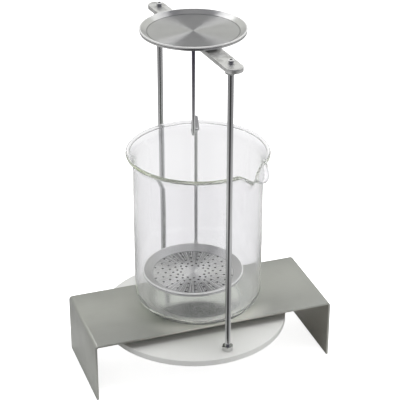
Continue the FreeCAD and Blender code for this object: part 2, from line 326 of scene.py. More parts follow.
pale_floor = Finish("pale_floor", Roughness=0.9, Specular_IOR_Level=0.0,
                    Emission_Color=(1.0, 1.0, 1.0, 1.0))
from_kit = pale_floor.measured("LENGTH", pale_floor.place)
forwards = pale_floor.measured("DOT_PRODUCT", pale_floor.place, front)
wedge = pale_floor.ramp(forwards / from_kit, (0.80, 1), (0.95, front_share))
metal_sees = mirror_sees(pale_floor)
patterned = metal_sees * (1.0 - mirror_sees(pale_floor, mirrors=2) * 0.5)
pale_floor.colored(patterned, (floor_color,) * 3,
                   pale_floor.ramp(from_kit, *shares) * wedge * floor_color)
pale_floor.give("Emission Strength",
                (path_is(pale_floor, "Camera") * floor_lift
                 + path_is(pale_floor, "Transmission") * glass_lift) * (1.0 - metal_sees))

half = floor_size / 2
floor = placed("floor", mesh_of("floor", [(-half, -half, 0), (half, -half, 0), (half, half, 0),
                                          (-half, half, 0)], [(0, 1, 2, 3)]))
floor.data.materials.append(pale_floor.material)
floor.location.z = -floor_drop
print("floor of", floor_size, "m")


# %% Soft lights
def softbox(name, place, size, power, mirrored=True):
    lamp = bpy.data.lights.new(name, "AREA")
    lamp.shape, lamp.size, lamp.energy = "SQUARE", size, power
    box = placed(name, lamp)
    box.location = place
    box.rotation_mode = "QUATERNION"
    box.rotation_quaternion = (camera_target - Vector(place)).to_track_quat("-Z", "Y")
    box.visible_glossy = mirrored
    print(name, power, "W")


softbox("left_softbox", (-0.36, 0.73, 1.26), 0.5, 2.0)
softbox("right_softbox", (0.74, 0.35, 1.26), 0.5, 1.3)
softbox("top_softbox", (0.2, -0.1, 1.8), 1.2, 18.0, mirrored=False)

# %% [markdown]
# ## Shapes in millimetres
#
# Most pieces were made on a lathe, so most meshes are rings about an axis. A row of such a mesh is a
# radius and a height, or a rule that gives them at each angle, which is how a spout or a hexagon gets
# into a turned shape.

# %% Where the pieces are
def box_mm(node):
    """The lowest and highest corner of a node, in millimetres."""
    low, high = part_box(node)
    return low * 1000, high * 1000


def middle_of(node):
    low, high = box_mm(node)
    return (low + high) / 2


carrier_axis = middle_of("adapter_hub").to_2d()
rod_line = middle_of("rear_rod").to_2d() - middle_of("front_rod").to_2d()
carrier_turn = atan2(-rod_line.x, rod_line.y)
print("carrier axis", [round(place, 2) for place in carrier_axis],
      "turned", round(degrees(carrier_turn), 2), "degrees")


# %% Turned shapes
def turned(rows, segments=96, closed=False):
    """Rings about the Z axis. Rows run up the outside, and a closed shape has a bore."""
    points, rings = [], []
    for row in rows:
        at_axis = not callable(row) and row[0] == 0
        ring = []
        for index in range(1 if at_axis else segments):
            angle = tau * index / segments
            radius, height = row(angle) if callable(row) else row
            ring.append(len(points))
            points.append((radius * cos(angle), radius * sin(angle), height))
        rings.append(ring)
    following = rings[1:] + (rings[:1] if closed else [])
    faces = []
    for lower, upper in zip(rings, following):
        for index in range(segments):
            after = index + 1
            corners = [ring[step % len(ring)] for ring, step in
                       ((lower, index), (lower, after), (upper, after), (upper, index))]
            faces.append(list(dict.fromkeys(corners)))
    return mesh_of("turned", points, faces)


def arc(centre, radius, start, end, steps):
    """Points along an arc, with angles in degrees from the first axis."""
    angles = [radians(start + (end - start) * step / steps) for step in range(steps + 1)]
    return [(centre[0] + radius * cos(angle), centre[1] + radius * sin(angle))
            for angle in angles]


def rounded(outline, closed=False, steps=4, dimensions=2):
    """The outline's points, where a number after a corner's place is the radius that rounds it."""
    places = [Vector(corner[:dimensions]) for corner in outline]
    points = []
    for index, (here, corner) in enumerate(zip(places, outline)):
        radius = corner[dimensions] if len(corner) > dimensions else 0.0
        if not radius or (not closed and index in (0, len(outline) - 1)):
            points.append(tuple(here))
            continue
        before = (places[index - 1] - here).normalized()
        after = (places[(index + 1) % len(places)] - here).normalized()
        half = before.angle(after) / 2
        centre = here + (before + after).normalized() * (radius / sin(half))
        start = (here + before * (radius / tan(half)) - centre).normalized()
        end = (here + after * (radius / tan(half)) - centre).normalized()
        points += [tuple(centre + radius * start.slerp(end, step / steps))
                   for step in range(steps + 1)]
    following = zip(points, points[1:] + [None])
    return [point for point, after in following if after is None or dist(point, after) > 1e-4]


# %% A piece on its body
body_of = {node: body for body, nodes in frame["record"]["behaviour"]["bodies"].items()
           for node in nodes}


def finish_piece(name, mesh, finish, node, centre=(0.0, 0.0), height=0.0, turn=0.0, crease=35.0):
    """Moves a mesh from the Z axis to its place, in metres, and lets it stand for its node."""
    mesh.transform(Matrix.Scale(0.001, 4) @ Matrix.Translation((centre[0], centre[1], height))
                   @ Matrix.Rotation(turn, 4, "Z"))
    mesh.shade_smooth()
    mesh.set_sharp_from_angle(angle=radians(crease))
    mesh.materials.clear()
    mesh.materials.append(finish.material)
    mesh.name = name
    piece = placed(name, mesh)
    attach(piece, body_of[node])
    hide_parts(node)
    low, high = box_mm(node)
    grown = max(max(low[axis] - 1000 * corner[axis], 1000 * corner[axis] - high[axis])
                for corner in piece.bound_box for axis in range(3))
    print(f"{name}: {len(mesh.polygons)} faces, past its node's box by {grown:.2f} mm")


# %% Modifiers that are used up
def worked(mesh, *steps):
    """The mesh after some modifiers. Each is its type, its settings and its tree's inputs."""
    blank = placed("blank", mesh)
    for kind, settings, *inputs in steps:
        modifier = blank.modifiers.new(kind.lower(), kind)
        for name, value in settings.items():
            setattr(modifier, name, value)
        for name, value in (inputs[0] if inputs else {}).items():
            modifier[modifier.node_group.interface.items_tree[name].identifier] = value
    bpy.context.view_layer.update()
    depsgraph = bpy.context.evaluated_depsgraph_get()
    result = bpy.data.meshes.new_from_object(blank.evaluated_get(depsgraph), depsgraph=depsgraph)
    bpy.data.objects.remove(blank)
    return result


def broken_edges(width, angle=40.0):
    """The modifier that rounds the sharp edges of a shape."""
    return ("BEVEL", {"width": width, "segments": 2, "limit_method": "ANGLE",
                      "angle_limit": radians(angle)})

# %% [markdown]
# ## Geometry trees
#
# What repeats or follows a path comes from a small geometry tree with named sizes: the sieve's
# holes, the threads and the bent wires. Each tree takes a plain mesh, and its result is turned back
# into a plain mesh, so that no modifier is left when a piece rides on its body.

# %% A geometry tree with named inputs
class Shaper(Graph):
    """A geometry tree that turns a mesh into another, by sizes that each use sets anew."""

    def __init__(self, name, **sizes):
        """The sizes are names under the kind of their sockets, as in Float="radius height"."""
        super().__init__(bpy.data.node_groups.new(name, "GeometryNodeTree"))
        for kind, names in {"Geometry": "Shape Result", **sizes, "Material": "material"}.items():
            for socket in names.split():
                self.tree.interface.new_socket(socket, socket_type="NodeSocket" + kind,
                                               in_out="OUTPUT" if socket == "Result" else "INPUT")
        self.inputs = self.tree.nodes.new("NodeGroupInput")

    def __getitem__(self, name):
        return Signal(self, self.inputs.outputs[name])

    def end(self, shape):
        """Instances become real, the material is set, and the result goes out."""
        real = self.node("GeometryNodeRealizeInstances", {}, {"Geometry": shape})
        painted = self.node("GeometryNodeSetMaterial", {},
                            {"Geometry": real, "Material": self["material"]})
        self.feed(self.tree.nodes.new("NodeGroupOutput").inputs["Result"], painted)

    def applied(self, mesh, finish, *more_steps, **sizes):
        return worked(mesh, ("NODES", {"node_group": self.tree},
                             {**sizes, "material": finish.material}), *more_steps)


# %% Round wire along a path
wire_maker = Shaper("round_wire", Float="radius", Int="sides")
section = wire_maker.node("GeometryNodeCurvePrimitiveCircle", {},
                          {"Resolution": wire_maker["sides"], "Radius": wire_maker["radius"]})
route = wire_maker.node("GeometryNodeMeshToCurve", {}, {"Mesh": wire_maker["Shape"]})
wire_maker.end(wire_maker.node("GeometryNodeCurveToMesh", {},
                               {"Curve": route, "Profile Curve": section, "Fill Caps": True}))

# %% Screw threads
# A thread is cut into a plain shank. Where a point sits along the pitch, once its angle round the
# shank is taken off, says how deep it lies.
skin_share = 0.98  # of the crest's radius, past which a point lies on the shank's skin
depth_share = 0.54  # of the pitch, from crest to root
rows_per_turn = 8

threader = Shaper("thread", Float="crest start end pitch")
point = threader.node("GeometryNodeInputPosition")
point_x, point_y, point_z = [threader.part(point, axis) for axis in "XYZ"]
turns = threader.math("ARCTAN2", point_y, point_x) / tau
flank = abs(threader.math("FRACT", point_z / threader["pitch"] - turns) * 2.0 - 1.0)
out = threader.math("SQRT", point_x * point_x + point_y * point_y)
run_in = ((point_z - threader["start"]) / threader["pitch"]).clamped()
run_out = ((threader["end"] - point_z) / threader["pitch"]).clamped()
cut = (1.0 - flank) * threader["pitch"] * depth_share * run_in * run_out
kept = 1.0 - cut * (out > threader["crest"] * skin_share) / threader["crest"]
threader.end(threader.node("GeometryNodeSetPosition", {},
                           {"Geometry": threader["Shape"],
                            "Position": threader.vector(point_x * kept, point_y * kept, point_z)}))


def along(radius, start, end, pitch):
    """Rows close enough together to carry a thread of this pitch."""
    count = ceil((end - start) / (pitch / rows_per_turn))
    return [(radius, start + (end - start) * index / count) for index in range(count + 1)]

# %% Rings of holes
punch_sides, punch_length = 16, 12.0

piercer = Shaper("rings_of_holes", Int="rings holes",
                 Float="first_ring ring_step phase hole_radius height")
index = piercer.node("GeometryNodeInputIndex")
ring = piercer.math("FLOOR", (index + 0.5) / piercer["holes"])
spoke = index - ring * piercer["holes"]
stagger = piercer.math("MODULO", ring, 2.0) * 0.5
angle = piercer["phase"] + (spoke + stagger) / piercer["holes"] * tau
ring_radius = piercer["first_ring"] + ring * piercer["ring_step"]
hole_place = piercer.vector(ring_radius * piercer.math("COSINE", angle),
                            ring_radius * piercer.math("SINE", angle), piercer["height"])
places = piercer.node("GeometryNodePoints", {}, {"Count": piercer["rings"] * piercer["holes"],
                                                 "Position": hole_place})
punch = piercer.node("GeometryNodeMeshCylinder", {},
                     {"Vertices": punch_sides, "Depth": punch_length,
                      "Radius": piercer["hole_radius"]})
punches = piercer.node("GeometryNodeInstanceOnPoints", {}, {"Points": places, "Instance": punch})
piercer.end(piercer.node("GeometryNodeMeshBoolean", {"operation": "DIFFERENCE", "solver": "EXACT"},
                         {"Mesh 1": piercer["Shape"], "Mesh 2": punches}))

# %% [markdown]
# ## The bridge
#
# One strip of stainless sheet, brushed along its length, then bent down at both ends. A line with
# two round corners is its outer side. Solidify gives the sheet's thickness inwards, so the bend's
# inner radius comes out right by itself, and a narrow bevel breaks the cut edges, which catch light.
# The grain has to go round the bend with the sheet, so the pattern's slow direction is x + z: along
# the platform only x changes, and down a leg only z. Under the beaker the sheet is polished, so it
# mirrors the foot of the glass, and that spot is also painted near white as a painted highlight.
# Just in front of it a pale, less metallic patch is painted on as painted light, and the sheet's
# inner sides are painted darker as painted shade.

# %% Brushed sheet
spot_edge = (27.6, 1), (33.0, 0)  # millimetres from the spot's middle, and how much it is polished and painted bright there
# Where a pale patch in front of the beaker's foot is painted on, as painted light.
painted_light_edges = (29.0, 0), (33.0, 1), (42.0, 1), (54.0, 0)
painted_light_rear = (-30.0, 1), (-18.0, 0)  # across the sheet
inner_skin = 1.2  # how far under its outer side the sheet is painted darker, as painted shade

bridge_low, bridge_high = box_mm("bridge_platform")
brushed = Finish("brushed_sheet")
across, height = brushed.axis("Y"), brushed.axis("Z")


def brush_lines(per_mm, length_mm, shift):
    """Noise in lines of this length, so many to the millimetre."""
    run = brushed.axis("X") + height
    return brushed.noise(Vector=brushed.vector(run / length_mm, across * per_mm, shift))


fine_lines = brush_lines(7.0, 30.0, 0.0)
broad_lines = brush_lines(0.9, 60.0, 40.0)
handling = brushed.patches(0.035, 0.42, 0.68)
from_beaker = brushed.measured("DISTANCE", brushed.place,
                               (*middle_of("beaker").to_2d(), bridge_high.z))
polished_and_painted_bright = brushed.ramp(from_beaker, *spot_edge)
painted_light_patch = brushed.ramp(from_beaker, *painted_light_edges) * brushed.ramp(across, *painted_light_rear)
painted_shade_inside = ((abs(brushed.axis("X")) < bridge_high.x - inner_skin)
              * (height < bridge_high.z - inner_skin))
brushed.colored(handling * 0.5 + broad_lines * 0.4, (0.53, 0.54, 0.50), (0.45, 0.455, 0.42))
# Painted highlight: the polished spot under the beaker is painted near white.
brushed.overlaid(polished_and_painted_bright, (0.95, 0.95, 0.92))
# Painted light: a pale, less metallic patch in front of the beaker's foot.
brushed.overlaid(painted_light_patch * 0.85, (0.70, 0.69, 0.64))
# Painted shade: the sheet's inner sides, under the bridge, are painted darker.
brushed.overlaid(painted_shade_inside, (0.36, 0.35, 0.31))
brushed.give("Metallic", 0.6 + polished_and_painted_bright * 0.4 - painted_light_patch * 0.5)
brushed.rough(0.26 + fine_lines * 0.10 + broad_lines * 0.06 + handling * 0.05 - polished_and_painted_bright * 0.22)
brushed.bumped(fine_lines + broad_lines * 0.3, 0.005)

# %% Bent bridge
sheet_thickness = 1.5
bend_radius = 2.5  # outside

side_line = rounded([(bridge_low.x, 0.0), (bridge_low.x, bridge_high.z, bend_radius),
                     (bridge_high.x, bridge_high.z, bend_radius), (bridge_high.x, 0.0)], steps=10)
sheet = mesh_of("sheet", [(x, y, z) for x, z in side_line for y in (bridge_low.y, bridge_high.y)],
                [(row, row + 2, row + 3, row + 1) for row in range(0, 2 * len(side_line) - 2, 2)])
sheet = worked(sheet, ("SOLIDIFY", {"thickness": sheet_thickness, "offset": -1.0}),
               broken_edges(0.2))
finish_piece("bent_sheet_bridge", sheet, brushed, "bridge_platform")

# %% [markdown]
# ## The beaker
#
# A low-form beaker is blown glass: round corners at the foot, an even wall, a flared rim with a
# melted bead, and a spout that was pulled out of the hot rim. It is a turned shape whose rows carry
# a rule. The spout is a smooth hump in each row's circle. It grows longer and wider towards the
# rim, and the inner wall moves as much as the outer one, so the wall keeps its thickness. Shadow
# rays and rays off a mirror go straight through the glass, and so do rays that have already turned
# a few times, or the beaker would grow dark.

# %% Beaker glass
glass_turns = 4.5  # refractions and reflections before a ray goes straight on

glass = Finish("beaker_glass", Base_Color=(0.985, 0.98, 1.0, 1.0), Roughness=0.0, IOR=1.47,
               Transmission_Weight=0.94)
from_mirror = mirror_sees(glass) * (ray(glass, "Transmission Depth") < 0.5)
straight_on = (path_is(glass, "Shadow") + (ray(glass, "Ray Depth") > glass_turns)
               + from_mirror).clamped()
clear = glass.node("ShaderNodeBsdfTransparent", {}, {"Color": (0.96, 0.97, 0.96, 1.0)})
passing = glass.node("ShaderNodeMixShader", {},
                     {0: straight_on, 1: Signal(glass, glass.shader.outputs["BSDF"]), 2: clear})
absorption = glass.node("ShaderNodeVolumeAbsorption", {},
                        {"Color": (0.80, 0.86, 0.62, 1.0), "Density": 14.0})
output = glass.tree.nodes["Material Output"]
glass.feed(output.inputs["Surface"], passing)
glass.feed(output.inputs["Volume"], absorption)
glass.bumped(glass.grain((0.05, 0.05, 0.012), 1.0), 0.25)

# %% Beaker with its spout
wall, foot_thickness = 1.5, 2.5
body_radius, foot_radius = 45.0, 12.0
hollow_foot = [(0.0, 0.45), (18.0, 0.4), (28.0, 0.12)]  # how the foot's middle is raised
flare_radius, flare_angle = 10.75, 52.0  # of the wall's middle line
bead_radius, bead_arc = 1.3, (-105.0, 186.0)  # from the outer flare round to the inner one
spout_angle = radians(-57.0)
spout_reach, spout_depth = 8.0, 16.0
spout_half_angles = radians(7.0), radians(20.0)  # at its foot and at the rim
spout_softness = 0.15  # how gently its foot leaves the wall
lip_dip = 7.5  # of the rim at the spout's tip
foot_rows, side_rows = 10, 20  # of each side of the glass

low, high = box_mm("beaker")
beaker_height = high.z - low.z
beaker_centre = ((low.x + high.x) / 2, high.y - (high.x - low.x) / 2)
flare_centre = (body_radius - wall / 2 + flare_radius,
                beaker_height - bead_radius - flare_radius * sin(radians(flare_angle)))
bead_centre = (flare_centre[0] - flare_radius * cos(radians(flare_angle)),
               beaker_height - bead_radius)


def spout_push(angle, height):
    """How far the spout moves the wall out here."""
    rise = min((height - beaker_height + spout_depth) / spout_depth, 1.0)
    if rise <= 0:
        return 0.0
    away = remainder(angle - spout_angle, tau)
    narrow, wide = spout_half_angles
    aside = min(abs(away) / (narrow + (wide - narrow) * rise), 1.0)
    grown = rise * rise * (1 + spout_softness) / (rise + spout_softness)
    return spout_reach * grown * (1 - aside * aside) ** 2


def glass_row(point):
    """A row of the wall that follows the spout, and dips where it pours."""
    def row(angle):
        push = spout_push(angle, point[1])
        near_rim = max(1.0 - (beaker_height - point[1]) / spout_depth, 0.0)
        return point[0] + push, point[1] - lip_dip * near_rim * push / spout_reach
    return row


def wall_side(offset, foot, corner):
    """One side of the glass from the foot's middle to the bead, at an offset from its middle."""
    side = body_radius - wall / 2 + offset
    bend = arc((side - corner, foot + corner), corner, -90, 0, foot_rows)
    straight = [(side, foot + corner + (flare_centre[1] - foot - corner) * step / side_rows)
                for step in range(1, side_rows)]
    flare = arc(flare_centre, flare_radius - offset, 180, 180 - flare_angle, 10)
    return bend + straight + flare[:-2]  # the bead takes the place of the last two


outside = wall_side(wall / 2, 0.0, foot_radius)
inside = wall_side(-wall / 2, foot_thickness, foot_radius - wall)
bead = arc(bead_centre, bead_radius, *bead_arc, 18)
rows = hollow_foot + outside[:foot_rows]
rows += [glass_row(point) for point in outside[foot_rows:] + bead + inside[:foot_rows - 1:-1]]
rows += inside[foot_rows - 1::-1] + [(0.0, foot_thickness)]
finish_piece("glass_beaker", turned(rows, 240), glass, "beaker",
             beaker_centre, low.z, crease=60.0)

# %% [markdown]
# ## Turned dishes
#
# Both dishes came off a lathe: a thin flat floor, a sloping rim and a small flat lip. The tool's
# fine circular marks throw the light into bright and dark wedges that meet at the centre. The
# shader's anisotropy does that: with no tangent linked it runs round the Z axis through the middle
# of the mesh, and a quarter turn makes it rough across the marks and smooth along them. Single
# deeper marks come from noise that changes only with the radius. The sloping rim is painted
# brighter as a painted highlight, and painted shade darkens it where it meets the floor and in the
# groove under its bead.

# %% Turned steel
def turned_steel(name, centre, color=(0.73,) * 3, roughness=0.34, anisotropy=0.95):
    finish = Finish(name, (*centre, 0.0), Metallic=1.0, Anisotropic=anisotropy,
                    Anisotropic_Rotation=0.25)
    marks = finish.rings(3.5, 3.0)
    broad = finish.rings(0.35, 1.0)
    smudges = finish.patches(0.06, 0.45, 0.75)
    finish.colored(marks * 0.3 + smudges * 0.3, color, tuple(0.86 * side for side in color))
    finish.rough(roughness - 0.05 + marks * 0.08 + broad * 0.06 + smudges * 0.04)
    finish.bumped(marks, 0.004)
    return finish


# %% The dishes' common shape
dish_radius = 35.5
dish_floor = 1.0  # thickness
dish_edge = 2.7  # upright edge of the rim
dish_lip = 0.7
bead_height, bead_step = 1.1, 0.2  # the rolled bead round the rim's top


def dish_side(rim_width, depth, top):
    """The dish's underside, edge, lip and floor, from its under edge to its middle."""
    floor_radius, floor_top = dish_radius - rim_width, top - depth
    under_edge, under_side = floor_radius + 0.3 * rim_width, floor_top - dish_floor
    side, bead_foot = dish_radius - bead_step, top - bead_height
    return rounded([(under_edge - 4.0, under_side), (under_edge, under_side, 1.2),
                    (side, top - dish_edge, 0.5), (side, bead_foot - bead_step),
                    (side - bead_step, bead_foot - bead_step / 2),
                    (dish_radius, bead_foot, 0.15), (dish_radius, top, 0.5),
                    (dish_radius - dish_lip, top, 0.15), (floor_radius, floor_top, 0.9),
                    (floor_radius - 4.0, floor_top), (0.0, floor_top)])


def show_rim(finish, rim_width, top):
    """Paints the cone brighter as a painted highlight, paints shade at its foot and in the groove
    under the bead, and makes the bead less metallic.
    """
    from_axis, height = finish.from_axis(), finish.axis("Z")
    up_cone = from_axis - (dish_radius - rim_width)
    crease_shade = finish.ramp(up_cone, (-1.0, 0), (-0.32, 1), (0.0, 1), (0.32, 0))
    groove_shade = height.between(top - bead_height - bead_step - 0.15, top - bead_height)
    bead = (height > top - bead_height) * (from_axis > dish_radius - dish_lip - bead_step)
    # Painted highlight: the sloping rim is painted brighter.
    finish.overlaid(up_cone > 0.0, (0.93, 0.93, 0.92))
    # Painted shade where the rim meets the floor.
    finish.overlaid(crease_shade * 0.6, (0.22, 0.22, 0.23))
    # Painted shade in the groove under the bead.
    finish.overlaid(groove_shade * (from_axis > dish_radius - 3 * bead_step), (0.05,) * 3)
    finish.give("Metallic", 1.0 - bead * 0.65)


# %% Weighing dish
upper_rim_width, upper_depth = 4.7, 2.4
pin_radius, pin_length, pin_edge = 1.5, 2.8, 0.3
low, high = box_mm("weighing_dish")
upper_steel = turned_steel("turned_upper_dish", middle_of("weighing_dish").to_2d())
show_rim(upper_steel, upper_rim_width, high.z)
upper_rows = [(0.0, low.z), (pin_radius - pin_edge, low.z), (pin_radius, low.z + pin_edge),
              (pin_radius, low.z + pin_length)] + dish_side(upper_rim_width, upper_depth, high.z)
finish_piece("turned_weighing_dish", turned(upper_rows, 144), upper_steel, "weighing_dish",
             carrier_axis)

# %% [markdown]
# ## The immersion dish
#
# The lower dish is a sieve, bored through in rings. Its steel is painted lighter than the upper
# dish's. Dark streaks that run outwards are painted on its floor as painted reflections, most of
# all to the front and the rear, and its rim is painted darker at the left and the right as painted
# shade. Its underside is painted dark and mottled as painted shade, and the walls of its holes are
# painted black as painted shade, so no light comes back out of them. These are colours over the
# turned steel.

# %% Sieve steel
sieve_rim_width, sieve_depth = 6.5, 3.3
sieve_radius = dish_radius - sieve_rim_width  # of its floor
painted_streak_radii = (8.9, 0), (17.8, 1), (28.4, 1), (29.1, 0)  # by the distance from its axis
surface = 0.03  # how deep the colour of a face is taken to reach, round its edges

lower_low, lower_high = box_mm("immersion_dish")
lower_centre = middle_of("immersion_dish").to_2d()
# The sieve's steel is painted lighter than the same steel on the upper dish, as painted light.
lower_steel = turned_steel("turned_lower_dish", lower_centre, (1.0, 1.0, 0.99))
from_axis, height = lower_steel.from_axis(), lower_steel.axis("Z")
floor_top = lower_high.z - sieve_depth
fore_and_aft = (lower_steel.axis("Y") / from_axis) ** 2.0
# Painted reflections: dark radial streaks on the floor, strongest to the front and the rear.
painted_streaks = (lower_steel.ramp(lower_steel.spokes(34.0), (0.40, 0), (0.56, 1))
           * lower_steel.ramp(from_axis, *painted_streak_radii))
# Painted shade under the sieve: its underside is painted dark, mottled by these patches.
stain_and_shade_patches = lower_steel.patches(0.45, 0.40, 0.60)
painted_underside_shade = lower_steel.mix_colors(stain_and_shade_patches, (0.10,) * 3, (0.42, 0.42, 0.41))
cone = from_axis.between(sieve_radius + 0.3, dish_radius - dish_lip - bead_step)
# Painted shade: the walls of the holes are painted black.
hole_wall_shade = (height.between(floor_top - dish_floor + surface, floor_top - surface)
              * (from_axis < sieve_radius))
lower_steel.overlaid(painted_streaks * (0.35 + 0.6 * fore_and_aft), (0.10,) * 3)
lower_steel.overlaid(height < lower_low.z + surface, painted_underside_shade)
show_rim(lower_steel, sieve_rim_width, lower_high.z)
# Painted shade: the rim is darker at the left and the right.
lower_steel.overlaid(cone * (1.0 - fore_and_aft) * 0.6, (0.42, 0.42, 0.41))
lower_steel.overlaid(hole_wall_shade, (0.01,) * 3)

# %% Immersion dish
hole_rings, holes_per_ring, hole_radius = 8, 12, 0.85
first_ring, last_ring_margin = 8.7, 1.4
hook_turn, hole_phase = radians(-22.55), radians(32.5)

lower_rows = [(0.0, lower_low.z)] + dish_side(sieve_rim_width, sieve_depth, lower_high.z)
ring_step = (sieve_radius - last_ring_margin - first_ring) / (hole_rings - 1)
lower_dish = piercer.applied(turned(lower_rows, 144), lower_steel, rings=hole_rings,
                             holes=holes_per_ring, first_ring=first_ring, ring_step=ring_step,
                             hole_radius=hole_radius, height=lower_low.z,
                             phase=carrier_turn + hook_turn + hole_phase)
finish_piece("pierced_immersion_dish", lower_dish, lower_steel, "immersion_dish", lower_centre)

# %% [markdown]
# ## The carrier's disc and hub
#
# The disc is a casting or thick plate, turned and then blasted, so it looks pale and matt next to
# the polished steel. The hub under it is plain turned metal with a bore for the balance's pin.

# %% Blasted disc
disc_bore, disc_edge = 6.05, 0.5
rod_hole, post_hole = 2.02, 2.52  # with their clearance round the rods and the post's stud

blasted = Finish("blasted_disc", middle_of("carrier_disc"), Metallic=0.25)
blast = blasted.grain(2.6, 3.0)
clouds = blasted.grain(0.03)
blasted.colored(clouds * 0.5 + blast * 0.3, (0.90, 0.905, 0.885), (0.82, 0.82, 0.795))
blasted.rough(0.46 + blast * 0.12)
blasted.bumped(blast, 0.03)

low, high = box_mm("carrier_disc")
disc_radius = (high.x - low.x) / 2
disc_rows = rounded([(disc_bore, low.z), (disc_radius, low.z, disc_edge),
                     (disc_radius, high.z, disc_edge), (disc_bore, high.z)], closed=True)
disc = piercer.applied(turned(disc_rows, 192, closed=True), blasted, rings=1, holes=2,
                       first_ring=rod_line.length / 2, ring_step=0.0, hole_radius=rod_hole,
                       height=middle_of("carrier_disc").z, phase=carrier_turn + pi / 2)
finish_piece("blasted_carrier_disc", disc, blasted, "carrier_disc", carrier_axis)

# %% Turned hub
hub_finish = turned_steel("turned_hub", carrier_axis, (0.74, 0.74, 0.73), anisotropy=0.6)
hub_edge, hub_bore, hub_bore_depth, bore_tip = 0.8, 4.1, 24.0, 1.5
spigot_radius, spigot_height, spigot_fillet = 6.0, 3.5, 0.2
low, high = box_mm("adapter_hub")
hub_radius, shoulder = (high.x - low.x) / 2, high.z - spigot_height
hub_rows = rounded([(0.0, hub_bore_depth + bore_tip), (hub_bore, hub_bore_depth),
                    (hub_bore, hub_edge), (hub_bore + hub_edge, low.z),
                    (hub_radius, low.z, hub_edge), (hub_radius, shoulder, hub_edge),
                    (spigot_radius, shoulder, spigot_fillet), (spigot_radius, high.z, hub_edge),
                    (0.0, high.z)])
finish_piece("turned_adapter_hub", turned(hub_rows, 96), hub_finish, "adapter_hub", carrier_axis)

# %% [markdown]
# ## The crossbar
#
# A flat bar with round ends and three holes. A 2D curve is the natural drawing of it: curves that
# lie inside another become holes by themselves, Extrude gives the thickness, and the curve's own
# bevel rounds all edges at once. It grows the outline by the bevel's depth, so Offset takes that
# back.

# %% Satin bar
satin = Finish("satin_bar", (*carrier_axis, 0.0), carrier_turn, Metallic=0.8)
bar_lines = satin.grain((6.0, 0.05, 6.0))
bar_marks = satin.patches((0.22, 0.16, 0.22), 0.45, 0.65, detail=4.0)
satin.colored(bar_lines * 0.3 + bar_marks * 0.7, (1.0, 1.0, 0.99), (0.62, 0.62, 0.60))
satin.rough(0.24 + bar_lines * 0.12 + bar_marks * 0.10)
satin.bumped(bar_lines, 0.005)

# %% Drilled bar
bar_width, bar_edge = 12.0, 0.4
bar_overhang = 4.5  # from each rod's middle line to the centre of the round end


def flat_bar(outlines, thickness, edge):
    """A plate between closed outlines, the first round the others, with rounded edges."""
    drawing = bpy.data.curves.new("drawing", "CURVE")
    drawing.dimensions, drawing.fill_mode = "2D", "BOTH"
    drawing.extrude = thickness / 2 - edge
    drawing.bevel_depth, drawing.bevel_resolution = edge, 3
    drawing.offset = -edge
    for outline in outlines:
        spline = drawing.splines.new("POLY")
        spline.points.add(len(outline) - 1)
        for point, (x, y) in zip(spline.points, outline):
            point.co = (x, y, 0.0, 1.0)
        spline.use_cyclic_u = True
    holder = bpy.data.objects.new("drawing", drawing)
    mesh = bpy.data.meshes.new_from_object(holder)
    bpy.data.objects.remove(holder)
    shape = bmesh.new()
    shape.from_mesh(mesh)
    bmesh.ops.remove_doubles(shape, verts=shape.verts, dist=1e-4)
    bmesh.ops.recalc_face_normals(shape, faces=shape.faces)
    shape.to_mesh(mesh)
    shape.free()
    return mesh


low, high = box_mm("crossbar")
to_rod = rod_line.length / 2
round_end = to_rod + bar_overhang
outlines = [arc((0.0, round_end), bar_width / 2, 0.0, 180.0, 24)
            + arc((0.0, -round_end), bar_width / 2, 180.0, 360.0, 24)]
outlines += [arc((0.0, middle), radius, 0.0, 360.0, 32)[:-1]
             for middle, radius in ((0.0, post_hole), (-to_rod, rod_hole), (to_rod, rod_hole))]
bar = flat_bar(outlines, high.z - low.z, bar_edge)
finish_piece("drilled_crossbar", bar, satin, "crossbar",
             carrier_axis, (low.z + high.z) / 2, carrier_turn, crease=50.0)

# %% [markdown]
# ## Rods and wires
#
# The uprights are drawn steel rods, threaded where nuts hold them, with a hexagon socket in the
# upper end. The hanger rod and the dish's wire are thinner wire, bent cold. Polished round bar
# shows the room as thin upright stripes, so it needs little roughness, and fine draw marks along it.
# The rods' faced ends are painted bright as a painted highlight and their sockets are painted dark
# as painted shade, and the hanger is painted darker towards its top, as painted shade under the dish.

# %% Drawn steel
def drawn_steel(name, color=(0.70, 0.70, 0.71), roughness=0.13, centre=(0.0, 0.0), turn=0.0):
    finish = Finish(name, (*centre, 0.0), turn, Metallic=1.0)
    draw_marks = finish.grain((5.0, 5.0, 0.08))
    stain_and_shade_patches = finish.patches((0.3, 0.3, 0.05), 0.5, 0.8)
    finish.colored(draw_marks * 0.5 + stain_and_shade_patches * 0.3, color, tuple(0.82 * side for side in color))
    finish.rough(roughness + draw_marks * 0.06 + stain_and_shade_patches * 0.08)
    finish.bumped(draw_marks, 0.004)
    return finish


# Heights over which the hanger is painted darker towards its top, as painted shade under the dish.
top_shade_heights = (185.0, 0), (245.0, 1)
wire_steel = drawn_steel("bent_wire", (0.97, 0.97, 0.98), 0.26)
hanger_steel = drawn_steel("tinted_hanger", (0.95, 0.95, 0.96), 0.26)
top_shade = hanger_steel.ramp(hanger_steel.axis("Z"), *top_shade_heights)
# Painted shade: the hanger darkens towards the dish above it.
hanger_steel.overlaid(top_shade * 0.95, (0.22, 0.20, 0.29))

# %% Rod steel
rod_radius, rod_edge = 2.0, 0.4
socket_flats, socket_depth = 2.0, 1.6
socket_radius, socket_reach = 1.2, 3.0  # of the painted shade, which takes in the whole socket

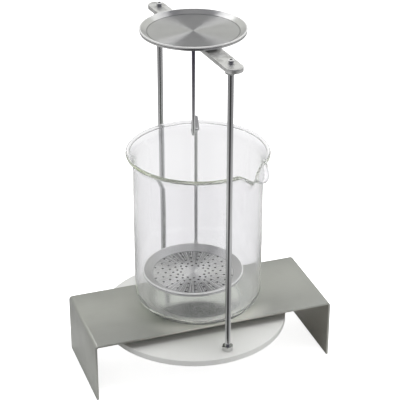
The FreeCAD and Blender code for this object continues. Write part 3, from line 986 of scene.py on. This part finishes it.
rod_steel = drawn_steel("polished_rod", centre=carrier_axis, turn=carrier_turn)
rod_end = box_mm("front_rod")[1].z
rod_x, rod_y, rod_z = [rod_steel.axis(name) for name in "XYZ"]
off_line = abs(rod_y) - rod_line.length / 2
off_axis = rod_steel.math("SQRT", off_line * off_line + rod_x * rod_x)
end_highlight = rod_z > rod_end - rod_edge - 0.05
socket_shade = (off_axis < socket_radius) * rod_z.between(rod_end - socket_reach, rod_end - surface)
# Painted highlight: the faced upper end and its edge are painted bright.
rod_steel.overlaid(end_highlight, (0.95,) * 3)
# Painted shade: the socket is painted near black.
rod_steel.overlaid(socket_shade, (0.02,) * 3)
rod_steel.give("Metallic", 1.0 - end_highlight * (1.0 - socket_shade) * 0.6)

# %% Upright rods
thread_pitch = 0.7
thread_past_base_nut, thread_past_bar_nut = 3.0, 2.0
socket_point = 0.3  # the depth of the drill's cone under the socket


def hexagon(flats, height):
    """A row that is a hexagon with this distance across its flats."""
    def row(angle):
        return flats / 2 / cos(angle % (pi / 3) - pi / 6), height
    return row


for end in ("front", "rear"):
    low, high = box_mm(end + "_rod")
    lower_end = box_mm(end + "_base_nut")[1].z + thread_past_base_nut
    upper_start = box_mm(end + "_bar_nut")[0].z - thread_past_bar_nut
    rod_rows = [(0.0, low.z), (rod_radius - rod_edge, low.z)]
    rod_rows += along(rod_radius, low.z + rod_edge, lower_end, thread_pitch)
    rod_rows += along(rod_radius, upper_start, high.z - rod_edge, thread_pitch)
    rod_rows += [(rod_radius - rod_edge, high.z), hexagon(socket_flats, high.z),
                 hexagon(socket_flats, high.z - socket_depth),
                 (0.0, high.z - socket_depth - socket_point)]
    rod = turned(rod_rows, 36)
    for start, stop in ((low.z + rod_edge, lower_end - thread_pitch),
                        (upper_start + thread_pitch, high.z - rod_edge)):
        rod = threader.applied(rod, rod_steel, crest=rod_radius, start=start, end=stop,
                               pitch=thread_pitch)
    finish_piece(end + "_upright", rod, rod_steel, end + "_rod",
                 middle_of(end + "_rod"), crease=45.0)

# %% Hexagon nuts
rod_nut_flats, post_nut_flats = 7.0, 8.0
cone_slope, cone_drop = 0.6, 0.03  # of the cone that cuts the corners, and how low it starts
nut_face_step, nut_lead_in = 0.12, 0.25  # in from the flats, and out from the bore


def hexagon_nut(flats, height, bore, steps=8):
    """A nut from its base up, whose corners end where a cone cuts them at both faces."""
    def cut_corner(at_top):
        def row(angle):
            radius = hexagon(flats, height)(angle)[0]
            drop = cone_slope * (radius - flats / 2) + cone_drop
            return radius, height - drop if at_top else drop
        return row

    face, lead = flats / 2 - nut_face_step, bore + nut_lead_in
    rows = [(lead, 0.0), (face, 0.0), cut_corner(False), cut_corner(True), (face, height),
            (lead, height), (bore, height - nut_lead_in), (bore, nut_lead_in)]
    return turned(rows, 6 * steps, closed=True)


bright_nuts = Finish("bright_nuts", Metallic=1.0)
wear = bright_nuts.grain(1.2, 3.0)
bright_nuts.colored(wear, (0.74, 0.74, 0.73), (0.60, 0.60, 0.59))
bright_nuts.rough(0.16 + wear * 0.14)
bright_nuts.bumped(wear, 0.02)

nuts = [(f"{end}_{level}", rod_nut_flats, rod_hole) for end in ("front", "rear")
        for level in ("base", "bar")]
for name, flats, bore in nuts + [("post", post_nut_flats, post_hole)]:
    low, high = box_mm(name + "_nut")
    finish_piece(name + "_hexagon_nut", hexagon_nut(flats, high.z - low.z, bore), bright_nuts,
                 name + "_nut", (low + high) / 2, low.z, carrier_turn, crease=25.0)

# %% Shouldered post
stud_radius, stud_edge, stud_pitch = 2.5, 0.4, 0.8
head_radius, head_edge = 7.0, 0.15
wire_bore, wire_bore_depth = 1.27, 5.0
pin_bore, pin_bore_depth = 1.55, 3.0

post_finish = turned_steel("turned_post", carrier_axis, roughness=0.24, anisotropy=0.6)
low, high = box_mm("dish_post")
shoulder = box_mm("crossbar")[1].z
post_rows = [(0.0, low.z + wire_bore_depth), (wire_bore, low.z + wire_bore_depth),
             (wire_bore, low.z), (stud_radius - stud_edge, low.z)]
post_rows += along(stud_radius, low.z + stud_edge, shoulder, stud_pitch)
post_rows += rounded([(stud_radius, shoulder), (head_radius, shoulder, head_edge),
                      (head_radius, high.z, head_edge), (pin_bore, high.z),
                      (pin_bore, high.z - pin_bore_depth), (0.0, high.z - pin_bore_depth)])[1:]
post = threader.applied(turned(post_rows, 48), post_finish, crest=stud_radius, pitch=stud_pitch,
                        start=low.z + stud_edge, end=shoulder)
finish_piece("shouldered_dish_post", post, post_finish, "dish_post", carrier_axis)

# %% Hanger rod and dish wire
wire_radius, wire_sides = 1.25, 24
hook_radius, hook_tip = 4.0, 3.0


def bent_wire(name, corners, finish, node, centre):
    """A piece of wire through corners, each with its bend radius as a fourth number."""
    points = rounded(corners, steps=12, dimensions=3)
    path = mesh_of("path", points, edges=[(index - 1, index) for index in range(1, len(points))])
    wire = wire_maker.applied(path, finish, broken_edges(0.25 * wire_radius, angle=60.0),
                              radius=wire_radius, sides=wire_sides)
    finish_piece(name, wire, finish, node, centre, turn=carrier_turn + hook_turn, crease=50.0)


low, high = box_mm("hanger_rod")
hook_height = low.z + wire_radius
bent_wire("hooked_hanger", [(0.0, 0.0, high.z), (0.0, 0.0, hook_height, hook_radius),
                            (0.0, 2 * hook_radius, hook_height, hook_radius),
                            (0.0, 2 * hook_radius, hook_height + hook_radius + hook_tip)],
          hanger_steel, "hanger_rod", carrier_axis)

seat_side, seat_back = 0.4, 3.6  # of the hook's seat from the dish's middle
arm_side, arm_dip, arm_bend, seat_bend = 2.9, 4.8, 4.5, 2.0
riser_foot, seat_overhang, weld_gap = 3.0, 1.6, 0.05
seat_play = 0.1  # between the hook and the wire that hangs in it
seat_height = hook_height + 2 * wire_radius + seat_play
riser_side = seat_side + arm_side
riser_back = sqrt((dish_radius + wire_radius + weld_gap) ** 2 - riser_side ** 2)
bent_wire("bent_dish_wire", [(riser_side, riser_back, lower_high.z - riser_foot),
                             (riser_side, riser_back, seat_height - arm_dip, arm_bend),
                             (riser_side, seat_back, seat_height, seat_bend),
                             (seat_side - seat_overhang, seat_back, seat_height)],
          wire_steel, "dish_wire", lower_centre)

# %% Weld
weld = Finish("weld_bead", Metallic=1.0)
weld_skin = weld.grain((1.5, 1.5, 4.0), 3.0)
weld.colored(weld_skin, (0.56, 0.54, 0.50), (0.36, 0.30, 0.26))
weld.rough(0.3 + weld_skin * 0.25)
weld.bumped(weld_skin, 0.08)
frame["nodes"]["rim_weld"].data.materials.clear()
frame["nodes"]["rim_weld"].data.materials.append(weld.material)
